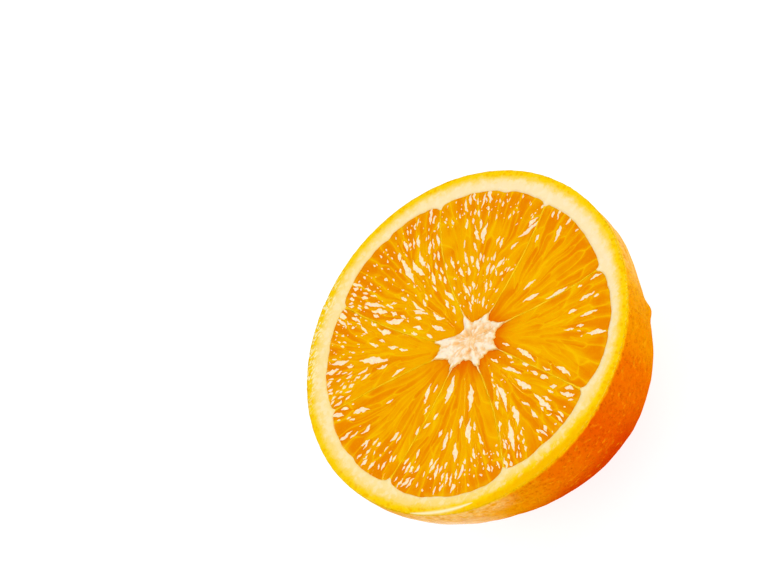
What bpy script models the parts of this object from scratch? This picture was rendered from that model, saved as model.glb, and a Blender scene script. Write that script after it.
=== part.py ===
"""Half of a large sweet orange, cut straight across its middle.

The half lies on the round blossom end with its cut face up.  Metres, +Z up; the origin is the middle of the
small flat spot that it rests on.  It is one solid: rind, pith, segments, membranes and core all grow together,
so they are shape and colour on one body.
"""

import math

import bmesh
import bpy
import numpy as np

# Driving dimensions of the whole half
FACE_RADIUS = 0.0390     # cut face out to the skin
DEPTH = 0.0405           # cut face down to the blossom end, before its flat spot
REST_RADIUS = 0.0065     # flat spot that the half rests on
LOBE = 0.034             # three soft corners below the cut, as a share of the radius
LOBE_TURN = 48.6         # degrees, direction of the first soft corner

# The cut face
ZEST = 0.0015            # yellow outer layer of the rind
CHAMFER = 0.0003         # blunted outer edge
CUSP_RADIUS = 0.0331     # where the pith runs in between two segments
CORE_X = 0.0008          # middle of the core, a little off the axis
CORE_Y = -0.0016
CORE_DIP = 0.0012        # the spongy core dries back below the cut
CORE_GAP = 0.0004        # rounded inner end of a segment, clear of the core
MEMBRANE_DIP = 0.0006    # furrow along a membrane
CROWN = 0.0004           # juicy middle of a segment, swollen above the cut

# A second stroke of the knife took a thin crescent off the rim
STEP_DROP = 0.0007
STEP_MIDDLE = 219.0      # degrees
STEP_HALF_WIDTH = 17.0   # degrees

# One row a segment, anticlockwise.  The first three values place the membrane where the segment starts: its
# direction at the core in degrees, the length of the core's arm there in mm, and its direction at the rind.
# The last two are the segment's own: where its heel begins, in mm from the core's middle, and how far the
# pulp reaches, in mm from the axis.
SEGMENTS = (
    (1, 6.6, 7, 4.0, 33.9),
    (56, 5.8, 54, 2.9, 34.5),
    (125, 8.0, 107, 7.2, 33.7),
    (150, 8.5, 150, 6.4, 34.1),
    (185, 7.4, 192, 4.3, 34.8),
    (239, 7.0, 241, 5.2, 33.9),
    (285, 7.4, 281, 5.5, 34.7),
    (328, 8.0, 328, 5.6, 33.5),
)
MM = 0.001

# How finely the solid is faceted
COLUMNS = 15             # columns of faces to a segment
PULP_STEPS = (0.0, 0.12, 0.3, 0.5, 0.7, 0.86, 0.95)
CORE_STEPS = (0.25, 0.55, 0.8)
BOWL_RINGS = 13

SEGMENT_COUNT = len(SEGMENTS)
AROUND = SEGMENT_COUNT * COLUMNS
REST_LATITUDE = math.acos(REST_RADIUS / FACE_RADIUS)
FACE_HEIGHT = DEPTH * math.sin(REST_LATITUDE)


def segment_values():
    """For every column: its segment's row, the next row round, and how far across the segment it stands."""
    rows = np.array(SEGMENTS, dtype=float)
    column = np.arange(AROUND)
    here = rows[column // COLUMNS]
    after = np.roll(rows, -1, axis=0)[column // COLUMNS]
    across = (column % COLUMNS) / COLUMNS
    return here, after, across


def turn_between(start, end, share):
    """Direction part of the way round from start to end, in radians, going anticlockwise."""
    return np.radians(start + share * ((end - start) % 360.0))


def core_outline(shrink=0.0):
    """Star of the core: straight arms along the membranes, with a round hollow between each two arms.

    The radius runs evenly from one arm's length to the next, less a parabola that is deepest in the middle.
    """
    here, after, across = segment_values()
    turn = turn_between(here[:, 0], after[:, 0], across)
    arms = here[:, 1] + across * (after[:, 1] - here[:, 1])
    hollow = (here[:, 1] + after[:, 1]) / 2 - here[:, 3]
    radius = (arms - hollow * (1 - (2 * across - 1) ** 2)) * MM + shrink
    return CORE_X + radius * np.cos(turn), CORE_Y + radius * np.sin(turn)


def pulp_edge():
    """Outer ends of the segments: flat arcs that turn in to a cusp of pith at each membrane."""
    here, after, across = segment_values()
    turn = turn_between(here[:, 2], after[:, 2], across)
    reach = here[:, 4] * MM
    radius = reach - (reach - CUSP_RADIUS) * (2 * across - 1) ** 4
    return radius * np.cos(turn), radius * np.sin(turn)


def rim_turn():
    """Direction of every column at the skin."""
    here, after, across = segment_values()
    return turn_between(here[:, 2], after[:, 2], across)


def skin_ring(latitude):
    """Ring of the skin at a latitude below the cut: an ellipse's quarter, pushed out at three soft corners."""
    turn = rim_turn()
    lobes = LOBE * np.cos(3 * (turn - math.radians(LOBE_TURN))) * np.sin(2 * latitude)
    radius = FACE_RADIUS * np.cos(latitude) * (1 + lobes)
    height = FACE_HEIGHT - DEPTH * np.sin(latitude)
    return np.column_stack((radius * np.cos(turn), radius * np.sin(turn), height * np.ones(AROUND)))


def step_depth():
    """How far the second knife stroke lowers the rim at each column: a smooth crescent."""
    away = (np.degrees(rim_turn()) - STEP_MIDDLE + 180.0) % 360.0 - 180.0
    share = np.clip(1 - (away / STEP_HALF_WIDTH) ** 2, 0.0, 1.0)
    return STEP_DROP * np.sqrt(share)


def core_rings():
    """Spongy core, from near its middle out to its arms."""
    x, y = core_outline()
    rings = []
    for share in CORE_STEPS:
        height = FACE_HEIGHT - CORE_DIP * (1 - share ** 2) - MEMBRANE_DIP * share ** 2
        ring = (CORE_X + share * (x - CORE_X), CORE_Y + share * (y - CORE_Y), height * np.ones(AROUND))
        rings.append(np.column_stack(ring))
    rings.append(np.column_stack((x, y, (FACE_HEIGHT - MEMBRANE_DIP) * np.ones(AROUND))))
    return rings


def pulp_rings():
    """Segments, swollen in the middle and furrowed along their membranes."""
    across = segment_values()[2]
    inner_x, inner_y = core_outline(CORE_GAP)
    outer_x, outer_y = pulp_edge()
    plump = np.sin(np.pi * across) ** 0.7
    rings = []
    for share in PULP_STEPS:
        swell = (CROWN + MEMBRANE_DIP) * math.sin(math.pi * (0.1 + 0.8 * share)) ** 0.5
        x = inner_x + share * (outer_x - inner_x)
        y = inner_y + share * (outer_y - inner_y)
        rings.append(np.column_stack((x, y, FACE_HEIGHT - MEMBRANE_DIP + swell * plump)))
    return rings


def rind_rings():
    """Cut rind: flat pith and zest, the knife's step, and the blunted edge of the skin."""
    x, y = pulp_edge()
    flat = FACE_HEIGHT * np.ones(AROUND)
    turn = rim_turn()
    zest = FACE_RADIUS - ZEST
    lip = FACE_RADIUS - CHAMFER
    drop = step_depth()
    below = np.arcsin((drop + CHAMFER) / DEPTH)
    return [
        np.column_stack((x, y, flat)),
        np.column_stack((zest * np.cos(turn), zest * np.sin(turn), flat)),
        np.column_stack((lip * np.cos(turn), lip * np.sin(turn), flat - drop)),
        skin_ring(below),
    ]


def bowl_rings():
    """Skin from just below the edge down to the flat spot."""
    first = math.radians(5.0)
    return [skin_ring(latitude) for latitude in np.linspace(first, REST_LATITUDE, BOWL_RINGS)]


def extrude_rings(mesh, rings):
    """Extrude a closed loop ring by ring; every vertex remembers its column, so each ring keeps its order."""
    column = mesh.verts.layers.int.new("column")
    loop = bmesh.ops.create_circle(mesh, cap_ends=False, radius=FACE_RADIUS, segments=AROUND)["verts"]
    for index, vertex in enumerate(loop):
        vertex[column] = index
        vertex.co = rings[0][index]
    edges = list(mesh.edges)
    first_edges = edges
    for ring in rings[1:]:
        grown = bmesh.ops.extrude_edge_only(mesh, edges=edges)["geom"]
        for vertex in (item for item in grown if isinstance(item, bmesh.types.BMVert)):
            vertex.co = ring[vertex[column]]
        edges = [item for item in grown if isinstance(item, bmesh.types.BMEdge)]
        edges = [edge for edge in edges if len(edge.link_faces) == 1]
    return first_edges, edges


def build_orange_half():
    """One closed solid: the core's middle, the cut face, the skin and the flat spot."""
    mesh = bmesh.new()
    rings = core_rings() + pulp_rings() + rind_rings() + bowl_rings()
    core_edge, rest_edge = extrude_rings(mesh, rings)
    core_face = bmesh.ops.contextual_create(mesh, geom=core_edge)["faces"]
    bmesh.ops.contextual_create(mesh, geom=rest_edge)
    middle = bmesh.ops.poke(mesh, faces=core_face)["verts"][0]
    middle.co = (CORE_X, CORE_Y, FACE_HEIGHT - CORE_DIP)
    bmesh.ops.recalc_face_normals(mesh, faces=mesh.faces)
    data = bpy.data.meshes.new("orange_half")
    mesh.to_mesh(data)
    mesh.free()
    data.shade_smooth()
    data.set_sharp_from_angle(angle=math.radians(40))
    return data


def orange_flesh():
    """Wet orange flesh, the colour of most of the cut face."""
    material = bpy.data.materials.new("orange_flesh")
    material.use_nodes = True
    shader = material.node_tree.nodes["Principled BSDF"]
    shader.inputs["Base Color"].default_value = (0.87, 0.33, 0.005, 1.0)
    shader.inputs["Roughness"].default_value = 0.25
    shader.inputs["Metallic"].default_value = 0.0
    return material


def main():
    for item in list(bpy.data.objects):
        bpy.data.objects.remove(item)
    half = bpy.data.objects.new("orange_half", build_orange_half())
    half.data.materials.append(orange_flesh())
    bpy.context.scene.collection.objects.link(half)


main()
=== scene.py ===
# %% [markdown]
# # Half of a sweet orange, cut face up
#
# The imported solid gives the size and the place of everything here.  On top of it come the looks: a
# pored skin, a rind that pales from zest to pith, eight segments full of juice sacs, the thin skins
# between them, and a spongy core.  Every piece is a surface worked out with numpy, so each shape is a
# formula.

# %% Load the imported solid
import math

import bpy
import numpy as np
from mathutils import Matrix, Vector


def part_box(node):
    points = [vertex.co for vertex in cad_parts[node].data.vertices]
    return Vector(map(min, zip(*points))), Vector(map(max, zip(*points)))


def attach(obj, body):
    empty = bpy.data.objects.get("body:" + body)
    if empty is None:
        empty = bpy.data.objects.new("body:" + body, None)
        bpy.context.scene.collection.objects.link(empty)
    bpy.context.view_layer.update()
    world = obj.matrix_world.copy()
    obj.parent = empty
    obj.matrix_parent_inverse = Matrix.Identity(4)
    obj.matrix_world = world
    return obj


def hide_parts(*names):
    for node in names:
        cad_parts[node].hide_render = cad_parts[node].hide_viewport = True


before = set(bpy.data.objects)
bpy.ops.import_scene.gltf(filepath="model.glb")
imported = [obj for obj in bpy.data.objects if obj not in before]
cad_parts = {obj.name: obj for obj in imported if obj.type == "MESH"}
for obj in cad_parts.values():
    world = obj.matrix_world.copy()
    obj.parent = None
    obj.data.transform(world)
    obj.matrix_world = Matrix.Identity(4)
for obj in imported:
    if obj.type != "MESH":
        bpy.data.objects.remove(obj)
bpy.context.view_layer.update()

SOLID = "orange_half"
low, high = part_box(SOLID)
print("solid reaches from", [round(v, 5) for v in low], "to", [round(v, 5) for v in high])

# %% [markdown]
# ## Driving sizes
#
# The half rests on its round end, so the cut face is the highest thing on it.  The radius comes from
# the box of the solid, and the height of the cut face is its top less the swelling of the juicy
# segments.  The segment rows repeat the solid's own layout, because pulp, membranes and core must lie
# where the solid has them.

# %% Driving sizes
MM = 0.001
RADIUS = (high.x - low.x) / 2
CROWN = 0.4 * MM         # how far juicy segments swell above the cut
FACE = high.z - CROWN    # height of the cut face
DEPTH = 40.5 * MM        # cut face down to the blossom end, before its flat spot
REST_RADIUS = 6.5 * MM   # flat spot under the half
REST_LATITUDE = math.acos(REST_RADIUS / RADIUS)
LOBE = 0.034             # three soft corners below the cut, as a share of the radius
LOBE_TURN = math.radians(48.6)  # direction of the first of them
LIP = RADIUS - 0.3 * MM  # where the cut meets the skin
CUSP_RADIUS = 33.1 * MM  # where the pith runs in between two segments
CORE = np.array([0.8, -1.6]) * MM  # middle of the core, a little off the axis
CORE_DIP = 0.24 * MM     # how far that middle is dished
STEP_DROP = 0.7 * MM     # a second stroke of the knife took a crescent off the rim
STEP_MIDDLE = 219.0      # direction of that crescent, in degrees
STEP_HALF_WIDTH = 17.0   # and half its width

# Columns of the table of segments, which has one row a segment, anticlockwise.
CORE_WALL = 0            # direction of its first membrane at the core, in degrees
ARM = 1                  # length of the core's arm there, in mm
RIND_WALL = 2            # direction of that membrane at the rind, in degrees
HEEL = 3                 # start of its heel, in mm from the core's middle
REACH = 4                # reach of its pulp, in mm from the axis
BOW = 5                  # how far that membrane bows anticlockwise, in mm
DARK = 6                 # how dark and glassy its heel is, 0 to 1
SEGMENTS = np.array([
    (1, 6.6, 7, 4.0, 33.9, -0.8, 0.40),
    (56, 5.8, 54, 2.9, 34.5, 2.0, 0.12),
    (125, 8.0, 107, 7.2, 33.7, 0.8, 0.15),
    (150, 8.5, 150, 6.4, 34.1, -0.4, 0.70),
    (185, 7.4, 192, 4.3, 34.8, 0.7, 1.00),
    (239, 7.0, 241, 5.2, 33.9, 1.0, 0.85),
    (285, 7.4, 281, 5.5, 34.7, 0.0, 1.00),
    (328, 8.0, 328, 5.6, 33.5, -0.6, 0.95),
])
COUNT = len(SEGMENTS)

# Share of each segment that is covered by wet plates, which are painted as highlights: near the core, half
# way out, and near the rind.
WETNESS = np.array([
    (0.22, 0.09, 0.18), (0.18, 0.19, 0.15), (0.04, 0.12, 0.42), (0.03, 0.05, 0.13),
    (0.06, 0.09, 0.18), (0.16, 0.15, 0.12), (0.03, 0.02, 0.06), (0.03, 0.02, 0.04),
])
print("cut face is", round(2000 * RADIUS, 1), "mm across and", round(1000 * FACE, 2), "mm up")
print("it has", COUNT, "segments")

# %% [markdown]
# ## Where a wet surface flashes
#
# A small wet surface is bright only when it faces halfway between the eye and a lamp.  Both stand
# still, so the slope that does so is known, and the shapes below can use it.

# %% Eye and key lamp
RISE = math.radians(50.352)      # angle of the eye above the cut, on the near side
KEY_AZIMUTH, KEY_RISE = 113, 40  # direction of the lamp behind the half, in degrees


def direction(azimuth, rise):
    """Unit vector from degrees round the axis and degrees above the floor."""
    turn, lift = math.radians(azimuth), math.radians(rise)
    return np.array([math.cos(turn) * math.cos(lift), math.sin(turn) * math.cos(lift), math.sin(lift)])


halfway_up = direction(-90, math.degrees(RISE)) + direction(KEY_AZIMUTH, KEY_RISE)
SHINE = -halfway_up[:2] / halfway_up[2]
print("a plate shines when it climbs by", SHINE.round(3))

# %% [markdown]
# ## Unevenness that can be repeated
#
# Fruit is never even, but the same half has to come out every time.  A lattice of whole numbers, each
# scrambled into a fixed value and blended between its neighbours, gives soft bumps of any size at any
# point of space.

# %% Soft unevenness


def scramble(x, y, z, seed):
    """Fixed value from -1 to 1 for each lattice point: multiply, fold the high bits down, and repeat."""
    mixed = x * np.uint32(374761393) + y * np.uint32(668265263) + z * np.uint32(2246822519)
    mixed = mixed + np.uint32(seed * 7919 + 17)
    mixed = (mixed ^ (mixed >> np.uint32(13))) * np.uint32(1274126177)
    mixed = (mixed ^ (mixed >> np.uint32(16))) * np.uint32(2246822519)
    return ((mixed >> np.uint32(9)) & np.uint32(0xFFFF)) / 32767.5 - 1.0


def swells(points, cell, seed):
    """Smooth value from -1 to 1: the eight lattice values round a point, blended by 3f*f - 2f*f*f."""
    place = points / cell
    corner = np.floor(place)
    part = place - corner
    blend = part * part * (3 - 2 * part)
    corner = corner.astype(np.int64).astype(np.uint32)
    total = 0.0
    for dx in (0, 1):
        for dy in (0, 1):
            for dz in (0, 1):
                value = scramble(corner[..., 0] + np.uint32(dx), corner[..., 1] + np.uint32(dy),
                                 corner[..., 2] + np.uint32(dz), seed)
                weight = abs(1 - dx - blend[..., 0]) * abs(1 - dy - blend[..., 1])
                total = total + value * weight * abs(1 - dz - blend[..., 2])
    return total


def rough(points, cell, seed, layers=3):
    """Swells on swells: each layer has half the size and half the height of the one before."""
    return sum(swells(points, cell / 2 ** layer, seed + layer) / 2 ** layer for layer in range(layers))


def ease(value, start, end):
    """Smooth climb from 0 at start to 1 at end."""
    share = np.clip((value - start) / (end - start), 0.0, 1.0)
    return share * share * (3 - 2 * share)


def bell(value, width):
    """1 at zero, falling off both ways by e to the minus square of value over width."""
    return np.exp(-(value / width) ** 2)


def fade(value, width):
    """1 at zero, falling off by e to the minus value over width."""
    return np.exp(-value / width)


def space(x, y, z=0.0):
    """Points of space from arrays of x, y and z."""
    return np.stack(np.broadcast_arrays(x, y, z), axis=-1)


def polar(radius, turn, z=0.0):
    """Points at a distance from the axis, in a direction in radians, at a height."""
    return space(radius * np.cos(turn), radius * np.sin(turn), z)


trial = rough(space(np.linspace(0, 1, 2000), 0.0), 0.02, 1)
print("unevenness runs from", round(trial.min(), 2), "to", round(trial.max(), 2))

# %% [markdown]
# ## From a grid of points to a piece
#
# A surface worked out on a grid of rows and columns becomes a mesh of quads.  The columns may join up
# into a ring, the rows may join up as well, and an open end may be closed by one pole point.

# %% Grid to mesh


def grid_faces(rows, columns, ring_columns, ring_rows=False):
    """Corner numbers of the quads between neighbouring rows and columns."""
    row = np.arange(rows if ring_rows else rows - 1)
    column = np.arange(columns if ring_columns else columns - 1)
    row, column = np.meshgrid(row, column, indexing="ij")
    below = (row + 1) % rows
    beside = (column + 1) % columns
    here, next_row = row * columns, below * columns
    corners = (here + column, here + beside, next_row + beside, next_row + column)
    return np.stack(corners, axis=-1).reshape(-1, 4)


def fan_faces(ring, pole):
    """Triangles from each side of a closed ring of vertices to one pole."""
    return np.stack((ring, np.roll(ring, -1), np.full(len(ring), pole)), axis=-1)


def make_piece(name, points, faces, shades=None, finish=None):
    """Mesh object from points and faces; shades are values kept at each vertex for the finish to read."""
    mesh = bpy.data.meshes.new(name)
    corners = [face for part in faces for face in part.tolist()]
    mesh.from_pydata(points.reshape(-1, 3).tolist(), [], corners)
    mesh.validate()
    mesh.shade_smooth()
    for label, values in (shades or {}).items():
        layer = mesh.attributes.new(label, "FLOAT", "POINT")
        layer.data.foreach_set("value", np.asarray(values, dtype=np.float32).ravel())
    piece = bpy.data.objects.new(name, mesh)
    bpy.context.scene.collection.objects.link(piece)
    if finish:
        mesh.materials.append(finish.material)
    return piece


def with_spare(shades, shape, total):
    """Shades of a grid of this shape, then zeros for the points that close the piece."""
    spare = np.zeros(total - shape[0] * shape[1])
    rows = {label: np.broadcast_to(values, shape).ravel() for label, values in shades.items()}
    return {label: np.concatenate((values, spare)) for label, values in rows.items()}


def dress(piece):
    """The piece rides with the half and stands for the solid, which is hidden."""
    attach(piece, "root")
    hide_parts(SOLID)
    triangles = sum(len(face.vertices) - 2 for face in piece.data.polygons)
    print(piece.name, "has", triangles, "triangles")


# %% [markdown]
# ## A short way to write finishes
#
# A finish is a web of nodes that ends in one Principled shader.  Written node by node it is hard to
# read, so a socket is wrapped in a small class whose operators add the Math nodes: `1 - mask * 0.3` is
# then two nodes.

# %% Sums of sockets


class Value:
    """A socket that can stand in a sum."""

    def __init__(self, finish, socket):
        self.finish = finish
        self.socket = socket

    def math(self, operation, first, second):
        """Math node of two terms."""
        return self.finish.node("ShaderNodeMath", {"operation": operation}, {0: first, 1: second})

    def __add__(self, other):
        return self.math("ADD", self, other)

    def __radd__(self, other):
        return self.math("ADD", other, self)

    def __sub__(self, other):
        return self.math("SUBTRACT", self, other)

    def __rsub__(self, other):
        return self.math("SUBTRACT", other, self)

    def __mul__(self, other):
        return self.math("MULTIPLY", self, other)

    def __rmul__(self, other):
        return self.math("MULTIPLY", other, self)


# %% Colours


def ink(red, green, blue):
    """Colour mixed on a 0 to 255 scale, as the light it returns; fruit keeps back 7 in 100."""
    share = np.array([red, green, blue]) / 255
    light = 0.93 * np.where(share > 0.04045, ((share + 0.055) / 1.055) ** 2.4, share / 12.92)
    return (*(float(part) for part in light), 1.0)


print("white returns", ink(255, 255, 255)[:3])

# %% Finishes


class Finish:
    """A material: steady numbers sit on the shader's own sockets, and what varies is linked."""

    def __init__(self, name, **steady):
        self.material = bpy.data.materials.new(name)
        self.material.use_nodes = True
        self.tree = self.material.node_tree
        self.shader = self.tree.nodes["Principled BSDF"]
        for label, value in steady.items():
            self.shader.inputs[label.replace("_", " ")].default_value = value
        self.place = self.node("ShaderNodeTexCoord", output="Object")

    def node(self, kind, settings=None, inputs=None, output=0):
        """Add a node, set it up, fill or link its sockets, and return one of its outputs."""
        made = self.tree.nodes.new(kind)
        for label, value in (settings or {}).items():
            setattr(made, label, value)
        for label, value in (inputs or {}).items():
            if isinstance(value, Value):
                self.tree.links.new(value.socket, made.inputs[label])
            else:
                made.inputs[label].default_value = value
        return Value(self, made.outputs[output])

    def shade(self, label):
        """Value kept at the vertices of the piece."""
        return self.node("ShaderNodeAttribute", {"attribute_name": label}, output="Fac")

    def axis(self, label):
        """X, Y or Z of the point, in metres."""
        return self.node("ShaderNodeSeparateXYZ", inputs={0: self.place}, output=label)

    def noise(self, size, detail=2.0):
        """Soft noise from 0 to 1, whose patches are about this size in metres."""
        inputs = {"Vector": self.place, "Scale": 1 / size, "Detail": detail}
        return self.node("ShaderNodeTexNoise", inputs=inputs)

    def cells(self, size, feature="F1", place=None):
        """Distance to the middle of the nearest cell, 0 to about 1; cells are about this size in metres."""
        inputs = {"Vector": place or self.place, "Scale": 1 / size}
        return self.node("ShaderNodeTexVoronoi", {"feature": feature}, inputs, "Distance")

    def climb(self, value, start, end):
        """Smooth climb from 0 at start to 1 at end."""
        inputs = {"Value": value, "From Min": start, "From Max": end}
        return self.node("ShaderNodeMapRange", {"interpolation_type": "SMOOTHSTEP"}, inputs)

    def mix(self, factor, first, second):
        """Colour between two colours."""
        return self.node("ShaderNodeMix", {"data_type": "RGBA"}, {0: factor, 6: first, 7: second}, 2)

    def bump(self, height, distance):
        """Normal tilted by a height from 0 to 1, which stands for this distance in metres."""
        inputs = {"Strength": 1.0, "Distance": distance, "Height": height}
        return self.node("ShaderNodeBump", inputs=inputs)

    def absolute(self, value):
        """Size of a value without its sign."""
        return self.node("ShaderNodeMath", {"operation": "ABSOLUTE"}, {0: value})

    def link(self, **varying):
        """Feed values into the shader's sockets of these names."""
        for label, value in varying.items():
            self.tree.links.new(value.socket, self.shader.inputs[label.replace("_", " ")])
        return self


def ramp(finish, value, stops):
    """Colours in order along a value: each stop is a value and a colour, eased into the next."""
    colour = stops[0][1]
    for (start, _), (end, after) in zip(stops, stops[1:]):
        colour = finish.mix(finish.climb(value, start, end), colour, after)
    return colour

# %% [markdown]
# ## Where membranes, pulp and rind lie
#
# Every membrane runs from an arm of the core to a cusp of pith, bowed a little.  A segment is what lies
# between two membranes, from the core's outline to the pulp's edge.  Two shares say where a point is:
# *across*, from the segment's first membrane to its second, and *along*, from the core to the rind.

# %% Plan of the cut face
NEXT = np.roll(SEGMENTS, -1, axis=0)
SPANS = (NEXT[:, RIND_WALL] - SEGMENTS[:, RIND_WALL]) % 360.0


def turn_between(start, end, share):
    """Direction part of the way round from start to end, in radians, going anticlockwise."""
    return np.radians(start + share * ((end - start) % 360.0))


def core_outline(index, across, grow):
    """Star of the core: arm lengths run evenly, less a hollow that is deepest midway between two arms."""
    here, after = SEGMENTS[index], NEXT[index]
    turn = turn_between(here[CORE_WALL], after[CORE_WALL], across)
    hollow = (here[ARM] + after[ARM]) / 2 - here[HEEL]
    arms = here[ARM] + across * (after[ARM] - here[ARM])
    radius = (arms - hollow * (1 - np.abs(2 * across - 1) ** 3)) * MM + grow
    return CORE[0] + radius * np.cos(turn), CORE[1] + radius * np.sin(turn)


def pulp_radius(index, across):
    """Reach of the pulp: a flat arc that turns in by the fourth power to a cusp at each membrane."""
    reach = SEGMENTS[index, REACH] * MM
    return reach - (reach - CUSP_RADIUS) * (2 * across - 1) ** 4


def bow(index, along):
    """Sideways bow of a membrane: half a sine wave from core to rind."""
    return SEGMENTS[index % COUNT, BOW] * MM * np.sin(np.pi * along)


def segment_plan(index, across, along, grow=0.0):
    """Place on the cut: straight from just under the core to the pulp's edge, shifted by both bows."""
    here, after = SEGMENTS[index], NEXT[index]
    inner_x, inner_y = core_outline(index, across, -0.5 * MM)
    turn = turn_between(here[RIND_WALL], after[RIND_WALL], across)
    outer = pulp_radius(index, across) + grow
    x = inner_x + along * (outer * np.cos(turn) - inner_x)
    y = inner_y + along * (outer * np.sin(turn) - inner_y)
    shift = bow(index, along) * (1 - across) + bow(index + 1, along) * across
    return x - shift * np.sin(turn), y + shift * np.cos(turn)


def rim_places(turn):
    """For each direction in radians: the segment there and the share across it."""
    degrees = np.degrees(turn) % 360.0
    starts = SEGMENTS[:, RIND_WALL]
    index = (np.searchsorted(starts, degrees, side="right") - 1) % COUNT
    return index, ((degrees - starts[index]) % 360.0) / SPANS[index]


print("segments are", SPANS, "degrees wide at the rind")

# %% [markdown]
# ## Skin
#
# The skin is the outside of the peel: a bowl, a quarter of an ellipse turned round the axis and pushed
# out at three soft corners.  It starts at the lip, where the knife went through, and bends over a
# blunted edge.  The grid runs from the lip to the middle of the flat spot, and comes back inside as a
# thin wall.  Low lumps are in the mesh; the pores, which are under a millimetre, are left to the
# finish.

# %% Rim of the skin
COLUMNS = 720
BLUNTED = 0.25 * MM      # drop over which the cut's edge is rounded
PEEL_WALL = 1.0 * MM
BURST_MIDDLE = 121.0     # side of the rim that faces the lamp, in degrees
WART = np.radians((318, 18))
SHOULDER = np.radians((342, 9))
turns = np.arange(COLUMNS) / COLUMNS * 2 * np.pi


def turn_away(turn, degrees):
    """Degrees from a direction, -180 to 180."""
    return (np.degrees(turn) - degrees + 180.0) % 360.0 - 180.0


def step_depth(turn):
    """How far the second knife stroke lowers the rim: a smooth crescent."""
    away = turn_away(turn, STEP_MIDDLE)
    return STEP_DROP * np.sqrt(np.clip(1 - (away / STEP_HALF_WIDTH) ** 2, 0.0, 1.0))


def burst(turn):
    """Share from 0 to 1 of oil glands that burst in the rim: a bell round the side that faces the lamp."""
    return ease(np.abs(turn_away(turn, BURST_MIDDLE)), 30.0, 12.0)


def bevel(turn):
    """How far the zest falls away towards the lip, most where its glands have burst."""
    return (0.07 + 0.09 * burst(turn)) * MM


print("the second stroke lowers the rim by up to", round(1000 * step_depth(turns).max(), 2), "mm")

# %% Bowl of the skin


def skin_shape(turn, latitude, inset=0.0):
    """Quarter ellipse by latitude below the cut, with three soft corners, moved in along its own normal."""
    lobes = 1 + LOBE * np.cos(3 * (turn - LOBE_TURN)) * np.sin(2 * latitude)
    radius = (RADIUS - inset) * np.cos(latitude) * lobes
    return polar(radius, turn, FACE - (DEPTH - inset) * np.sin(latitude))


def skin_normal(turn, latitude):
    """Outward direction of the plain bowl."""
    return polar(np.cos(latitude), turn, -np.sin(latitude))


def lip_ring(turn):
    """Sharp upper edge of the skin, nicked where oil glands were cut open."""
    nick = 0.06 * MM * rough(space(turn * 39, 0.0, 4.0), 1.3, 5, 2)
    return polar(LIP + nick, turn, FACE - bevel(turn) - step_depth(turn))


def skin_lumps(points):
    """Height of the skin's lumps: broad swells and dimples go in, a wart and a soft shoulder come out."""
    broad = 0.16 * MM * (swells(points, 9 * MM, 11) - 1)
    dimples = 0.10 * MM * (rough(points, 3.1 * MM, 12, 2) - 1)
    wart = np.linalg.norm(points - skin_shape(*WART), axis=-1)
    shoulder = np.linalg.norm(points - skin_shape(*SHOULDER), axis=-1)
    rise = 0.8 * bell(wart, 2.0 * MM) + 0.7 * bell(shoulder, 7 * MM)
    return broad + dimples + rise * MM


trial = skin_lumps(skin_shape(turns, 0.5))
print("lumps move the skin by", round(1000 * trial.min(), 2), "to", round(1000 * trial.max(), 2), "mm")

# %% Skin points
start = np.arcsin((bevel(turns) + step_depth(turns) + BLUNTED) / DEPTH)
steps = np.concatenate((np.linspace(0, 0.25, 50), np.linspace(0.25, 1, 72)[1:]))
latitude = start[None, :] + steps[:, None] * (REST_LATITUDE - start[None, :])
plain = skin_shape(turns, latitude)
lumps = skin_lumps(plain) * ease(plain[..., 2], 0.0, 1.2 * MM)
outer_skin = plain + skin_normal(turns, latitude) * lumps[..., None]
lip = lip_ring(turns)
halfway = (lip + outer_skin[0]) / 2 + skin_normal(turns, -0.6) * 0.06 * MM
rest = np.linspace(0.8, 0.1, 6)[:, None, None] * outer_skin[-1][None]
rest[..., 2] = outer_skin[-1, 0, 2]
inner_latitude = np.radians([84.0, 70.0, 52.0, 34.0, 16.0, 3.0])[:, None]
inner_skin = skin_shape(turns, inner_latitude, PEEL_WALL)
skin_rows = np.concatenate((lip[None], halfway[None], outer_skin, rest))
skin_points = np.concatenate((
    skin_rows.reshape(-1, 3), [(0, 0, outer_skin[-1, 0, 2])],
    inner_skin.reshape(-1, 3), [(0, 0, PEEL_WALL)],
))
print("skin is", len(skin_rows), "rows of", COLUMNS)


# %% Skin faces
def skin_faces():
    """Outer rows and their pole, the inner wall turned the other way with its own, and the lip's ledge."""
    outer = grid_faces(len(skin_rows), COLUMNS, True)[:, ::-1]
    pole = len(skin_rows) * COLUMNS
    last = np.arange(pole - COLUMNS, pole)
    inner = grid_faces(len(inner_skin), COLUMNS, True)[:, ::-1] + pole + 1
    first_inner = np.arange(COLUMNS) + pole + 1
    last_inner = first_inner + (len(inner_skin) - 1) * COLUMNS
    inner_pole = len(skin_points) - 1
    lip_vertices = np.arange(COLUMNS)
    ring = (lip_vertices, np.roll(lip_vertices, -1), np.roll(last_inner, -1), last_inner)
    ledge = np.stack(ring, axis=-1)
    return [outer, fan_faces(last, pole)[:, ::-1], inner, fan_faces(first_inner, inner_pole), ledge]


# %% [markdown]
# ## Finish of the skin
#
# Orange skin is waxy and full of sunken oil glands, each under a millimetre.  Cells of two sizes make
# the pores, and the bump node turns them into light and shade.  The colour is orange with painted light
# and shade: yellower at the lit sides, redder in the middle of the bowl, and deeper and redder still low
# down and towards the round end.  There is a breath of yellow close to the cut where light comes through
# the rind.  Two pale patches near the cut are a painted sheen, and the thin coat of wax is left on only
# where its sheen shows, on the left and the right.

# %% Skin finish


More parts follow.
